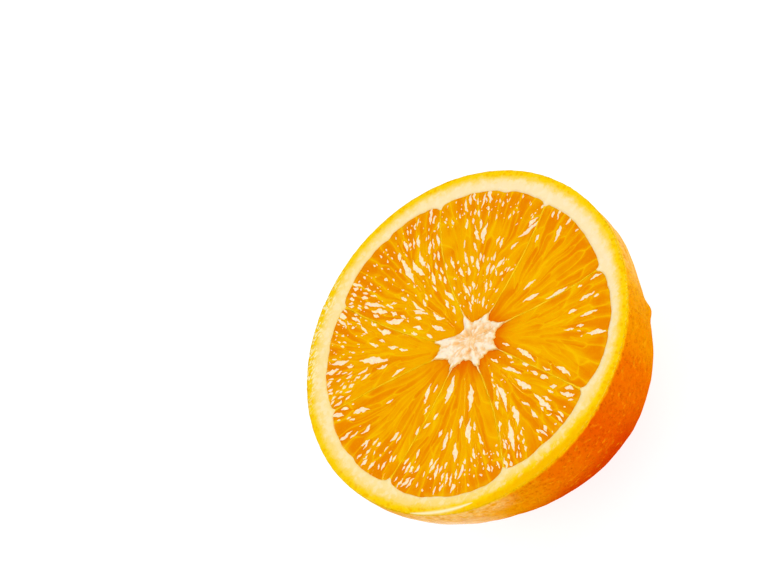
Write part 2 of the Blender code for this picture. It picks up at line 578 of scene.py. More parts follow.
def skin_finish():
    """Orange with painted light and shade across, low down and at the round end; pores, painted glints, a
    painted sheen.
    """
    skin = Finish("waxy_skin", IOR=1.4, Specular_IOR_Level=0.0, Coat_Roughness=0.15, Coat_IOR=1.2,
                  Subsurface_Weight=0.12, Subsurface_Radius=(1.0, 0.35, 0.08), Subsurface_Scale=0.0015)
    height = skin.axis("Z")
    wide = skin.noise(0.012, 3.0)
    fine = skin.noise(0.0016, 2.0)
    x = skin.axis("X") * (1 / RADIUS)
    y = skin.axis("Y") * (1 / RADIUS)
    # Painted shade: redder and darker towards the round end, underneath.
    painted_shade_round_end = skin.climb(height + (wide - 0.5) * 0.012, 0.024, 0.002)
    # Painted light and shade: yellower towards the lit sides, redder in the middle of the bowl.
    lit_side = skin.absolute(x - 0.06 + (wide - 0.5) * 0.16)
    colour = ramp(skin, lit_side, (
        (0.0, ink(220, 95, 0)), (0.30, ink(224, 114, 0)),
        (0.52, ink(228, 143, 0)), (0.80, ink(236, 168, 4)),
    ))
    colour = skin.mix(painted_shade_round_end * 0.7, colour, ink(208, 60, 0))
    # Painted shade: deeper red low down in the middle of the bowl.
    below = skin.climb(skin.absolute(x + 0.15), 0.6, 0.1) * skin.climb(height, 0.031, 0.021)
    colour = skin.mix(below * 0.8, colour, ink(196, 52, 0))
    edge = skin.climb(height + (fine - 0.5) * 0.0012, FACE - 1.3 * MM, FACE - 0.1 * MM)
    pores = skin.climb(skin.cells(0.00095), 0.08, 0.5)
    colour = skin.mix((1 - pores) * 0.12, colour, ink(222, 84, 0))
    mottle = skin.noise(0.0026, 3.0)
    colour = skin.mix(skin.climb(mottle, 0.58, 0.40) * 0.12, colour, ink(228, 90, 0))
    # Painted highlights: pale yellow flecks stand for small glints on the skin.
    colour = skin.mix(skin.climb(fine, 0.56, 0.74) * 0.25, colour, ink(252, 184, 30))
    # Painted sheen: pale patches near the cut, left and right, stand for the floor mirrored in the skin.
    left = skin.climb(x, -0.45, -0.62) * skin.climb(y, -0.30, -0.45) * skin.climb(height, 0.032, 0.0365)
    right = skin.climb(x, 0.74, 0.86) * skin.climb(y, 0.02, -0.2) * skin.climb(height, 0.029, 0.034)
    painted_sheen = (left * 0.8 + right * 0.5) * skin.climb(fine + (wide - 0.5) * 0.8, 0.25, 0.6)
    painted_sheen = painted_sheen * (0.55 + skin.climb(skin.noise(0.0007, 2.0), 0.4, 0.6) * 0.45)
    colour = skin.mix(painted_sheen, colour, ink(252, 206, 130))
    colour = skin.mix(edge * 0.8, colour, ink(247, 196, 8))
    relief = pores * 0.5 + skin.climb(skin.cells(0.0019, "SMOOTH_F1"), 0.0, 0.7) * 0.5 + fine * 0.35
    low_left = skin.climb(x, -0.55, -0.82) * (skin.climb(height, FACE - 3 * MM, FACE - 9 * MM) * 0.7 + 0.2)
    wax = low_left + skin.climb(x, 0.55, 0.85) * 0.15
    return skin.link(Base_Color=colour, Roughness=0.45 + fine * 0.2, Coat_Weight=wax,
                     Normal=skin.bump(relief, 0.0004))


dress(make_piece("peel", skin_points, skin_faces(), finish=skin_finish()))

# %% [markdown]
# ## Cut rind
#
# The cut shows the rind edge on: a cream, spongy pith beside the pulp, which turns into yellow zest at
# the skin.  It is a ring whose section is walked round once: up the inner wall, out over the flat cut,
# down inside the skin and back.  Both ends of the walk join, so the ring closes without poles.  Where
# the knife took a second stroke there is a short pale slope and a deeper yellow facet outside it.

# %% Edge of the pulp
RING = 1440
ring_turns = np.arange(RING) / RING * 2 * np.pi
# Direction in degrees and depth of each short side wall, which notches the edge of the pulp.
SHORT_WALLS = (
    (77, 1.0), (26, 0.8), (303, 0.6), (256, 0.5), (126, 0.5), (214, 0.5), (14, 0.4), (172, 0.4),
)


def pulp_edge(turn):
    """Radius where pulp meets pith: the segments' reach, cusps at short walls, and unevenness."""
    index, across = rim_places(turn)
    radius = np.choose(index, [pulp_radius(i, across) for i in range(COUNT)])
    for degrees, depth in SHORT_WALLS:
        radius = radius - depth * 0.5 * MM * bell(turn_away(turn, degrees), 2.2)
    radius = radius - 0.7 * MM * bell(np.minimum(across, 1 - across), 0.022)
    return radius + 0.14 * MM * rough(polar(radius, turn), 2.2 * MM, 21, 2)


trial = 1000 * pulp_edge(ring_turns)
print("pulp reaches", trial.min().round(1), "to", trial.max().round(1), "mm from the axis")

# %% Cut rind surface


def rind_rows():
    """Rows of the ring's section, with distance in from the skin, the pale strip and the juicy edge."""
    edge = pulp_edge(ring_turns)
    across = np.concatenate((np.linspace(0, 0.2, 12), np.linspace(0.2, 1, 40)[1:]))[:, None]
    radius = edge + across * (LIP - edge)
    lip_points = lip_ring(ring_turns)
    radius[-1] = np.hypot(lip_points[:, 0], lip_points[:, 1])
    points = polar(radius, ring_turns)
    inward = RADIUS - radius
    round_over = 0.42 * MM * fade(radius - edge, 0.35 * MM)
    sponge = 0.035 * MM * rough(points, 1.3 * MM, 23, 3)
    drop = step_depth(ring_turns)
    slope = ease(inward, 1.75 * MM, 1.25 * MM) * 0.35 + ease(inward, 1.3 * MM, 0.3 * MM) * 0.65
    stair = (points[..., :2] @ SHINE) / np.hypot(*SHINE) / (0.5 * MM) + 0.9 * rough(points, 0.9 * MM, 29, 2)
    stair = (stair - np.floor(stair) - 0.5) * 0.5 * MM * np.hypot(*SHINE)
    glands = stair * burst(ring_turns) * ease(swells(points, 0.42 * MM, 27), -0.05, 0.1)
    glands = glands * ease(inward, 3.0 * MM, 1.8 * MM)
    fall = bevel(ring_turns) * np.clip(1.4 - inward / (1.2 * MM), 0.0, 1.15)
    height = FACE - round_over - fall + (sponge + glands) * ease(across, 1.0, 0.93) - drop * slope
    top = polar(radius, ring_turns, height)
    overlap = 1 + 0.04 * MM / LIP
    top[-1] = lip_points * (overlap, overlap, 1)
    soaked = fade(radius - edge, 0.2 * MM)
    walk = ((LIP - 0.5 * MM, 1.4), (LIP - 1.3 * MM, 3.0), (edge + 1.4 * MM, 3.0), (edge, 1.6))
    under = [polar(reach, ring_turns, FACE - depth * MM) for reach, depth in walk]
    share = np.clip((np.degrees(ring_turns) - 205.0) / 23.0, 0.0, 1.0)
    width = 0.30 * MM * np.sin(np.pi * share) ** 0.6 + 1e-9
    strip = bell(inward - (0.45 + 1.05 * share) * MM, width) * (width > 0.02 * MM)
    return np.concatenate((top, np.array(under))), inward, strip, soaked


rind_points, rind_inward, rind_strip, rind_soaked = rind_rows()
hidden = np.zeros((4, RING))
rind_shades = {
    "inward": np.concatenate((rind_inward / MM, hidden + 3)),
    "strip": np.concatenate((rind_strip, hidden)),
    "soaked": np.concatenate((rind_soaked, hidden + 1)),
    "yellow": np.broadcast_to(bell(turn_away(ring_turns, 252.0), 24.0), rind_points.shape[:2]),
    "burst": np.broadcast_to(burst(ring_turns), rind_points.shape[:2]),
}
print("rind is", round(1000 * float(rind_inward[0].min()), 1), "to",
      round(1000 * float(rind_inward[0].max()), 1), "mm thick")

# %% [markdown]
# ## Finish of the cut rind
#
# One measure drives the colour: how far a point lies in from the skin.  A ramp of colours goes from
# deep yellow through pale yellow to cream, and noise moves the measure about, so that the change is
# ragged as on a real rind.  Whole oil glands are darker dots in the zest.  On the side facing the lamp,
# where glands burst, and thinly at the lip, pale flecks of small cells stretched sideways are painted
# highlights.

# %% Cut rind finish


def rind_finish():
    """Colour by distance from the skin, moved by noise, with dark glands, pale clouds and painted highlight
    flecks.
    """
    rind = Finish("cut_rind", IOR=1.38, Specular_IOR_Level=0.0, Coat_Roughness=0.05,
                  Subsurface_Weight=0.15, Subsurface_Radius=(1.0, 0.8, 0.4), Subsurface_Scale=0.0012)
    patches = rind.noise(0.0022, 3.0)
    grain = rind.noise(0.0005, 3.0)
    yellow = rind.shade("yellow")
    inward = rind.shade("inward") + (patches - 0.5) * 2.0 + (grain - 0.5) * 0.9 - yellow * 1.5
    colour = ramp(rind, inward, (
        (0.1, ink(247, 198, 6)), (0.6, ink(248, 206, 12)), (1.2, ink(248, 209, 26)),
        (1.8, ink(248, 212, 84)), (2.5, ink(248, 218, 128)), (4.0, ink(248, 224, 160)),
    ))
    side = rind.axis("X")
    # The inner pith is paler towards +X.
    paler_towards_x = rind.climb(side + (patches - 0.5) * 0.02, -0.01, 0.04) * rind.climb(inward, 2.0, 3.6)
    colour = rind.mix(paler_towards_x * 0.8, colour, ink(250, 229, 187))
    glands = rind.climb(rind.cells(0.00105), 0.42, 0.26) * rind.climb(rind.shade("inward"), 2.0, 1.2)
    colour = rind.mix(glands * 0.6, colour, ink(244, 182, 2))
    clouds = rind.climb(rind.noise(0.0013, 3.0), 0.46, 0.62) * rind.climb(rind.shade("inward"), 1.6, 2.6)
    colour = rind.mix(clouds * 0.35, colour, ink(252, 238, 206))
    # Painted highlights: pale flecks, most on the side facing the lamp where glands burst, a few at the lip.
    stretch = {0: rind.place, 1: (0.45, 1.0, 1.0)}
    dashes = rind.node("ShaderNodeVectorMath", {"operation": "MULTIPLY"}, stretch)
    painted_glints = rind.climb(rind.cells(0.00046, place=dashes), 0.54, 0.42) * rind.climb(patches, 0.36, 0.50)
    glint_spread = rind.shade("burst") * rind.climb(rind.shade("inward"), 3.8, 1.6)
    glint_spread = glint_spread * 0.75 + rind.climb(rind.shade("inward"), 0.9, 0.2) * 0.12
    colour = rind.mix(painted_glints * glint_spread, colour, ink(254, 244, 200))
    colour = rind.mix(yellow * rind.climb(inward, 1.4, 0.2) * 0.7, colour, ink(245, 184, 2))
    colour = rind.mix(rind.shade("strip"), colour, ink(254, 240, 196))
    colour = rind.mix(rind.shade("soaked") * 0.8, colour, ink(253, 204, 84))
    relief = grain * 0.6 + rind.noise(0.00025, 2.0) * 0.4
    wet = rind.shade("burst") * 0.15 + 0.05
    return rind.link(Base_Color=colour, Roughness=0.5 + patches * 0.3, Coat_Weight=wet,
                     Normal=rind.bump(relief, 0.00005))


rind_faces = [grid_faces(len(rind_points), RING, True, ring_rows=True)]
dress(make_piece("rind", rind_points, rind_faces, rind_shades, rind_finish()))

# %% [markdown]
# ## Juice sacs
#
# A segment is packed with long sacs.  Their fat ends hang from the rind and from the side walls, and
# their thin ends point at the core.  Each sac is a tapered line on the cut; every point of the cut
# belongs to the sac that is nearest once its distance is divided by the sac's width there.  Halfway
# between two sacs stands their common wall.  The whole plan is bent a little first, so the sacs curve.

# %% Sacs of a segment
USUAL_SPAN = 46.0  # degrees of a segment that has as many sacs as the rows say
# Share of the way out at which a row of sacs hangs, how many there are, and how long they are.
SAC_ROWS = ((1.00, 9, 0.42), (0.82, 7, 0.45), (0.62, 5, 0.42), (0.40, 3, 0.30))


def sac_ends(index):
    """Outer and inner ends: rows hang at shares of the way out and lean in to the segment's middle."""
    chance = np.random.default_rng(400 + index)
    wide = SPANS[index] / USUAL_SPAN
    outer, inner = [], []
    for reach, count, length in SAC_ROWS:
        count = max(3, round(count * wide))
        across = (np.arange(count) + 0.5 + chance.uniform(-0.36, 0.36, count)) / count
        along = reach + chance.uniform(-0.05, 0.03, count)
        tip = along - length * chance.uniform(0.7, 1.25, count)
        lean = chance.uniform(0.45, 0.85, count)
        outer.append(space(across, along))
        inward = 0.5 + (across - 0.5) * lean + chance.uniform(-0.05, 0.05, count)
        inner.append(space(inward, np.maximum(tip, 0.02)))
    outer, inner = np.concatenate(outer), np.concatenate(inner)
    head = space(*segment_plan(index, outer[:, 0], outer[:, 1]))[:, :2]
    tail = space(*segment_plan(index, inner[:, 0], inner[:, 1]))[:, :2]
    return head, tail, chance


def nearest_sacs(points, head, tail):
    """Nearest sac, its scaled distance and the next nearest's, place down its length, and side."""
    best = np.full(points.shape[:-1], 1e9)
    second = best.copy()
    owner = np.zeros(points.shape[:-1], dtype=int)
    for number, (start, end) in enumerate(zip(head, tail)):
        line = end - start
        down = np.clip((points - start) @ line / (line @ line), 0.0, 1.0)
        gap = points - start - down[..., None] * line
        scaled = np.hypot(gap[..., 0], gap[..., 1]) / (1.0 - 0.62 * down)
        closer = scaled < best
        second = np.where(closer, best, np.minimum(second, scaled))
        owner = np.where(closer, number, owner)
        best = np.where(closer, scaled, best)
    line = (tail - head)[owner]
    length = np.hypot(line[..., 0], line[..., 1])
    away = points - head[owner]
    down = (away * line).sum(axis=-1) / length ** 2
    side = (away[..., 0] * line[..., 1] - away[..., 1] * line[..., 0]) / length
    return owner, best, second, down, side


# %% [markdown]
# ## Wet plates
#
# Where the knife opened a sac, juice settles in small plates along it.  Mirrored light alone would show
# them from one side only, so the finish paints them pale as highlights, and the shape does the rest:
# each one is nearly flat and faces halfway between the eye and the lamp behind the half, so that all of
# it flashes a little at once.

# %% Plan of the wet plates
# Inner and outer reach of each ring as shares of the radius, and how long its plates are to the usual.
RINGS = ((0.20, 0.50, 1.0), (0.50, 0.70, 1.0), (0.70, 0.86, 0.7))
SLIVERS, SPECKS = 500, 110
PLATE_FILL = 0.44        # area of a pointed plate to that of its ellipse


def plate_plan(index, head, tail, chance):
    """Plates ring by ring, none touching: slivers along wetter sacs, then specks, until enough is wet.

    Each one has a middle, a heading, half a length, half a width, a bend, a slope and a place on the grid.
    Squaring an even chance makes most of them short and a few long, and a longer one is wider too.  The
    slope is the one that shines, less seven tenths of its climb lengthways, so a long plate stays low.
    """
    span = SPANS[index] / 360.0
    tries = SLIVERS + SPECKS
    sliver = np.arange(tries) < SLIVERS
    wet_sac = chance.uniform(0, 1, len(head))
    kept = np.zeros((0, 10))
    for (near, far, reach_share), share in zip(RINGS, WETNESS[index]):
        size = chance.uniform(0, 1, tries) ** 2
        long = np.where(sliver, (1.4 + 4.0 * size) * reach_share, 0.25 + 0.7 * size) * MM
        wide = np.where(sliver, 0.20 * MM + 0.11 * long, 0.12 * MM + 0.16 * long)
        wide = wide * chance.uniform(0.75, 1.35, tries)
        reach = np.sqrt(chance.uniform(near ** 2, far ** 2, tries)) * RADIUS
        along = np.clip((reach - 4.5 * MM) / (SEGMENTS[index, REACH] * MM - 4.5 * MM), 0.02, 0.98)
        across = chance.uniform(0.02, 0.98, tries)
        middle = space(*segment_plan(index, across, along))[:, :2]
        owner = nearest_sacs(middle, head, tail)[0]
        paler_towards_x = sliver & (wet_sac[owner] < 0.5 * (1 - share))
        line = (tail - head)[owner]
        heading = np.arctan2(line[:, 1], line[:, 0]) + chance.normal(0, 0.14, tries)
        ahead = space(np.cos(heading), np.sin(heading))[:, :2]
        slope = SHINE - 0.7 * (ahead @ SHINE)[:, None] * ahead + chance.normal(0, 0.02, (tries, 2))
        bend = np.clip(chance.normal(0, 0.16, tries), -0.3, 0.3)
        whole = share * span * math.pi * (far ** 2 - near ** 2) * RADIUS ** 2
        room = whole
        rows = np.column_stack((middle, heading, long, wide, bend, slope, along, across))[~paler_towards_x]
        for glint_plate, is_sliver in zip(rows, sliver[~paler_towards_x]):
            away = kept[:, :2] - glint_plate[:2]
            lengthways = np.abs(away @ (math.cos(glint_plate[2]), math.sin(glint_plate[2])))
            sideways = np.abs(away @ (-math.sin(glint_plate[2]), math.cos(glint_plate[2])))
            clash = (lengthways < 0.8 * (glint_plate[3] + kept[:, 3])) & (sideways < glint_plate[4] + kept[:, 4])
            if room > 0.08 * whole * is_sliver and not clash.any():
                kept = np.vstack((kept, glint_plate))
                room -= PLATE_FILL * math.pi * glint_plate[3] * glint_plate[4]
    return kept


print("each ring has up to", SLIVERS, "slivers and", SPECKS, "specks to choose from")

# %% Wet plates


def wet_plates(plates, points, height):
    """Raise plates out of a relief: a tilted plane through each middle, cut by a bent, pointed lens.

    The lens is 1 in its middle and 0 at its outline, and its width shrinks towards both ends, one sooner
    than the other.  The second answer is the highest lens at each point, which outlines the painted
    highlights.
    """
    rows = (plates[:, 8] * (ALONG - 1)).astype(int)
    columns = (plates[:, 9] * (ACROSS - 1)).astype(int)
    glint_lens = np.zeros(height.shape)
    for (x, y, turn, long, wide, bend, *slope, _, _), level in zip(plates, height[rows, columns]):
        away = points - (x, y)
        u = away[..., 0] * math.cos(turn) + away[..., 1] * math.sin(turn)
        v = away[..., 1] * math.cos(turn) - away[..., 0] * math.sin(turn) - bend * u * u / long
        girth = np.maximum((1.2 - np.abs(u) / long) * (1 + 3 * bend * u / long), 0.1)
        lens = 1 - np.hypot(u / long, v / (wide * girth))
        side = height + 0.6 * wide * lens
        top = level + away @ np.array(slope) + 0.6 * math.hypot(*slope) * wide
        raised = np.minimum(side, top)
        glint_lens = np.maximum(glint_lens, lens)
        height = np.maximum(height, raised)
    return height, glint_lens


# %% [markdown]
# ## Relief of the pulp
#
# Between the plates the pulp is calm: each sac swells a little between its walls and has a slow ripple
# along it.  Towards the rind and the core the whole segment rounds down, and at the membranes it lies
# flush.

# %% Relief of the sacs


def sac_relief(index, flat):
    """Each sac swells, leans and ripples a little; with values for the finish and the plan of its plates."""
    sway = space(rough(flat, 6 * MM, 31 + index, 2), rough(flat, 6 * MM, 61 + index, 2))[..., :2]
    bent = flat[..., :2] + 0.55 * MM * sway
    head, tail, chance = sac_ends(index)
    owner, best, second, down, side = nearest_sacs(bent, head, tail)
    edge = (second - best) / (second + best)
    dome = 1 - (1 - edge) ** 2
    count = len(head)
    swell = chance.uniform(0.0, 1.0, count) ** 3 * 0.035 + 0.01
    tilt = chance.normal(0, 0.015, count)
    tone = chance.uniform(-1, 1, count)
    length = np.hypot(*(tail - head).T)[owner]
    lengthways = space(side / (0.45 * MM), down * length / (5 * MM), owner * 3.7)
    streak = rough(lengthways, 1.0, 91 + index, 2)
    free = np.minimum(1, 1.4 * dome)
    relief = swell[owner] * dome * MM + free * tilt[owner] * side + 0.012 * MM * streak * free
    relief = relief + 0.05 * MM * swells(flat, 4.5 * MM, 121 + index)
    shades = {
        "wall": bell(edge, 0.07) * ease(down, 1.15, 0.8),
        "tone": tone[owner] * free,
        "streak": streak,
        "body": dome * (1 - 0.5 * np.clip(down, 0, 1)),
    }
    return relief, shades, plate_plan(index, head, tail, chance)


# %% Segment surface
ALONG, ACROSS = 270, 270
SEGMENT_LENGTH = 27 * MM
CALM_LEVEL = FACE - 0.28 * MM


def segment_surface(index):
    """Grid from core to rind and membrane to membrane: relief and plates, rounded down at its sides."""
    along = np.linspace(0, 1, ALONG)[:, None]
    raw = np.linspace(0, 1, ACROSS)[None, :]
    left = space(*segment_plan(index, 0.0, along[:, 0]))
    right = space(*segment_plan(index, 1.0, along[:, 0]))
    width = np.hypot(*(right - left)[:, :2].T)[:, None]
    inset = np.minimum(0.02 * MM / width, 0.2)
    across = inset + (1 - 2 * inset) * raw
    x, y = segment_plan(index, across, along, grow=0.5 * MM)
    flat = space(x, y)
    relief, shades, plates = sac_relief(index, flat)
    wall_gap = np.minimum(across, 1 - across) * width
    rim_gap = (1 - along) * SEGMENT_LENGTH + 0 * across
    heel_gap = along * SEGMENT_LENGTH + 0 * across
    sink = 0.03 * MM * fade(wall_gap, 0.30 * MM) + 0.15 * MM * fade(rim_gap, 0.15 * MM)
    sink = sink + 0.22 * MM * fade(heel_gap, 0.8 * MM)
    sink = sink + 0.05 * MM * SEGMENTS[index, DARK] * bell(heel_gap - 1.8 * MM, 1.2 * MM)
    middle = 0.06 * MM * ease(np.minimum(wall_gap, rim_gap), 0.0, 4 * MM)
    calm = CALM_LEVEL + middle + relief
    ragged = space(rough(flat, 0.8 * MM, 101 + index, 2), rough(flat, 0.8 * MM, 201 + index, 2))[..., :2]
    # The highest lens of the plates marks where highlights are painted.
    height, glint_plate = wet_plates(plates, flat[..., :2] + 0.22 * MM * ragged, calm)
    height = calm + (height - calm) * ease(rim_gap, 0.2 * MM, 0.7 * MM) - sink
    height = np.minimum(height, high.z - 0.02 * MM)
    shades.update({
        "heel": SEGMENTS[index, DARK] * (1 - ease(heel_gap, -2.0 * MM, 8.0 * MM)) ** 1.5,
        "rim": ease(rim_gap, 9 * MM, 1 * MM),
        "side_wall": bell(wall_gap, 0.25 * MM),
        # Painted sheen: pale patches of juice film near the rind.
        "painted_film_sheen": ease(swells(flat, 2.1 * MM, 215), 0.1, 0.6) * ease(rim_gap, 1.6 * MM, 0.6 * MM),
        "glint_plate": glint_plate,
    })
    return space(x, y, height), shades


# %% Segment below the cut
SHELL_TURNS = np.radians(np.linspace(0, 88, 9)[1:])
SHELL_DEPTH = 34 * MM


def outline_of(grid):
    """Vertex numbers round the outside of a grid, in order."""
    rows, columns = grid
    number = np.arange(rows * columns).reshape(rows, columns)
    return np.concatenate((number[0, :-1], number[:-1, -1], number[-1, :0:-1], number[:0:-1, 0]))


def make_segment(index, finish):
    """Close the relief below with rings that shrink by the cosine and sink by the sine of an angle."""
    top, shades = segment_surface(index)
    loop = outline_of((ALONG, ACROSS))
    rim = top.reshape(-1, 3)[loop]
    middle = rim[:, :2].mean(axis=0) * 0.12
    shrink = np.cos(SHELL_TURNS)[:, None, None]
    sink = np.sin(SHELL_TURNS)[:, None]
    plan = middle + shrink * (rim[None, :, :2] - middle)
    level = rim[None, :, 2] - SHELL_DEPTH * sink
    shell = space(plan[..., 0], plan[..., 1], level)
    pole = [(*middle, FACE - SHELL_DEPTH - MM)]
    points = np.concatenate((top.reshape(-1, 3), shell.reshape(-1, 3), pole))
    base = ALONG * ACROSS
    first = np.arange(len(loop)) + base
    join = np.stack((loop, np.roll(loop, -1), np.roll(first, -1), first), axis=-1)
    below = grid_faces(len(SHELL_TURNS), len(loop), True) + base
    last = first + (len(SHELL_TURNS) - 1) * len(loop)
    cap = fan_faces(last, len(points) - 1)
    faces = [grid_faces(ALONG, ACROSS, False)[:, ::-1], join[:, ::-1], below[:, ::-1], cap[:, ::-1]]
    kept = with_spare(shades, (ALONG, ACROSS), len(points))
    return make_piece(f"segment_{index + 1}", points, faces, kept, finish)


# %% [markdown]
# ## Finish of the pulp
#
# Juice is clear and deeply coloured, so the colour follows how much of it light goes through: amber in
# the middle of a fat sac, golden beside a wall, pale yellow on the wall itself, and red-orange in the
# heels beside the core.  A clear coat stands for the film of juice that the knife leaves, and pale
# patches of it near the rind are a painted sheen.  The wet plates are painted cream as highlights:
# their outline is drawn where the height of the lens passes a steady value, so it is crisper than the
# grid.

# %% Pulp finish


def pulp_finish():
    """Gold to amber by body, tone and streak; then paler walls, redder heels, a painted sheen and wet plates
    painted cream as highlights.
    """
    pulp = Finish("juicy_pulp", IOR=1.36, Specular_IOR_Level=0.0, Coat_Weight=1.0, Coat_Roughness=0.015,
                  Coat_IOR=1.35, Subsurface_Weight=0.3, Subsurface_Radius=(1.0, 0.5, 0.05),
                  Subsurface_Scale=0.0006)
    drift = pulp.noise(0.004, 3.0)
    fibre = pulp.noise(0.0005, 3.0)
    body = pulp.shade("body")
    tone = pulp.shade("tone")
    deep = body * 0.6 + tone * 0.3 + (drift - 0.5) * 1.2
    deep = deep + pulp.shade("rim") * 0.28 - pulp.shade("streak") * 0.28
    colour = pulp.mix(pulp.climb(deep, -0.1, 1.0), ink(244, 178, 2), ink(236, 144, 1))
    colour = pulp.mix(pulp.climb(fibre, 0.52, 0.75) * 0.2, colour, ink(249, 194, 6))
    colour = pulp.mix(pulp.shade("wall") * 0.6, colour, ink(250, 204, 12))
    colour = pulp.mix(pulp.shade("side_wall") * 0.5, colour, ink(249, 200, 12))
    colour = pulp.mix(pulp.shade("heel"), colour, ink(228, 92, 1))
    # Painted sheen of juice film near the rind.
    colour = pulp.mix(pulp.shade("painted_film_sheen") * 0.25, colour, ink(250, 208, 40))
    # Painted highlights: wet plates painted cream, outlined where the lens passes a steady value.
    glint_plate = pulp.climb(pulp.shade("glint_plate"), 0.26, 0.34)
    colour = pulp.mix(glint_plate * (0.78 + fibre * 0.3), colour, ink(253, 232, 198))
    return pulp.link(Base_Color=colour, Roughness=0.4 + fibre * 0.2, Normal=pulp.bump(fibre, 0.000008))


pulp = pulp_finish()
for index in range(COUNT):
    dress(make_segment(index, pulp))

# %% [markdown]
# ## Membranes
#
# Between two segments stands a membrane, a double skin that the knife cuts to a thin pale line.  It is
# a slim closed profile, rounded on top, carried along the bowed path from the core to the cusp of pith.

# %% Membrane surface
STATIONS = 160
SECTION = 12
RUN = np.linspace(-0.03, 1.05, STATIONS)


def membrane_surface(index):
    """Round-topped section of 12 points carried from core to rind; width and height vary a little."""
    x, y = segment_plan(index, 0.0, RUN)
    path = space(x, y)
    heading = np.gradient(path[:, :2], axis=0)
    heading = heading / np.hypot(*heading.T)[:, None]
    half = 0.13 * MM * (1 + 0.45 * rough(path, 3 * MM, 140 + index, 2)) + 0.25 * MM * ease(RUN, 0.93, 1.0)
    crest = FACE - 0.17 * MM + 0.06 * MM * rough(path, 2.5 * MM, 150 + index, 3)
    turn = np.linspace(0, 2 * np.pi, SECTION, endpoint=False)
    sideways = np.cos(turn)[None, :] * half[:, None]
    upward = np.where(np.sin(turn) >= 0, np.sin(turn) * 0.2 * MM, np.sin(turn) * 4 * MM)[None, :]
    sideways = sideways + 0.10 * MM * rough(path, 2 * MM, 160 + index, 2)[:, None]
    px = x[:, None] - heading[:, 1:2] * sideways
    py = y[:, None] + heading[:, 0:1] * sideways
    return space(px, py, crest[:, None] - 0.2 * MM + upward)


# %% Membranes


def make_membrane(index, finish):
    """Close both ends of the carried section with a pole."""
    body = membrane_surface(index)
    ends = [body[0].mean(axis=0), body[-1].mean(axis=0)]
    points = np.concatenate((body.reshape(-1, 3), ends))
    first = np.arange(SECTION)
    last = first + (STATIONS - 1) * SECTION
    faces = [grid_faces(STATIONS, SECTION, True), fan_faces(first, len(points) - 2)[:, ::-1],
             fan_faces(last, len(points) - 1)]
    fray = np.clip(1 - 9 * RUN, 0, 1)
    shades = {"fray": np.concatenate((np.repeat(fray, SECTION), (1.0, 0.0)))}
    return make_piece(f"membrane_{index + 1}", points, faces, shades, finish)


def membrane_finish():
    """Yellow that pales and darkens along its length, and turns cream where it frays at the core."""
    skin = Finish("membrane_skin", IOR=1.38, Specular_IOR_Level=0.0, Coat_Weight=0.6, Coat_Roughness=0.06)
    flow = skin.noise(0.0015, 3.0)
    colour = skin.mix(skin.climb(flow, 0.3, 0.75), ink(248, 192, 8), ink(252, 212, 50))
    colour = skin.mix(skin.shade("fray") * skin.climb(flow, 0.35, 0.55), colour, ink(254, 232, 190))
    return skin.link(Base_Color=colour, Roughness=0.2 + flow * 0.25,
                     Normal=skin.bump(skin.noise(0.0004), 0.00005))


membrane = membrane_finish()
for index in range(COUNT):
    dress(make_membrane(index, membrane))

# %% [markdown]
# ## Core
#
# The core is dry white sponge.  Fibres run from its middle out along the arms, with hollows between
# them.  The grid is polar about the core's middle, and the ridges are noise stretched along the arms.

# %% Core surface
CORE_STEPS = 60          # columns between two arms
CORE_COLUMNS = COUNT * CORE_STEPS
CORE_ROWS = 70
CORE_RINGS = 6


def core_surface():
    """Share of the way out by direction: a dished star, ridged along its arms and torn at its edge."""
    index = np.repeat(np.arange(COUNT), CORE_STEPS)
    across = np.tile(np.arange(CORE_STEPS) / CORE_STEPS, COUNT)
    outline = [core_outline(i, across[index == i], 0.35 * MM) for i in range(COUNT)]
    x = np.concatenate([part[0] for part in outline])
    y = np.concatenate([part[1] for part in outline])
    torn = 1 + 0.05 * rough(space(x, y), 0.7 * MM, 165, 2)
    x, y = CORE[0] + (x - CORE[0]) * torn, CORE[1] + (y - CORE[1]) * torn
    share = np.linspace(0.02, 1.0, CORE_ROWS)[:, None]
    px = CORE[0] + share * (x - CORE[0])
    py = CORE[1] + share * (y - CORE[1])
    flat = space(px, py)
    arm = bell(np.minimum(across, 1 - across), 0.13)[None, :]
    angle = np.arctan2(py - CORE[1], px - CORE[0])
    fibre = rough(space(np.cos(angle) * 6, np.sin(angle) * 6, share * 1.6), 0.9, 171, 3)
    sponge = rough(flat, 1.0 * MM, 181, 3)
    pits = 0.35 * MM * ease(rough(flat, 1.7 * MM, 191, 2), 0.1, 0.8) * ease(share, 0.9, 0.5)
    dish = CORE_DIP * (1 - share ** 2) + (0.16 - 0.10 * arm) * MM * share ** 3
    edge = 0.30 * MM * ease(share, 0.94, 1.0) * (1 - 0.6 * arm)
    relief = 0.22 * MM * arm * ease(share, 0.15, 0.6) + 0.16 * MM * fibre * ease(share, 0.1, 0.5)
    height = FACE - dish - edge + relief + 0.14 * MM * sponge - pits
    ridge = arm * ease(share, 0.1, 0.5) * 0.6 + 0.5 * fibre + 0.4 * sponge
    shades = {"ridge": ridge, "hollow": pits / (0.35 * MM), "soaked": ease(share, 0.90, 1.0) + 0 * arm}
    return space(px, py, height), shades


# %% Core


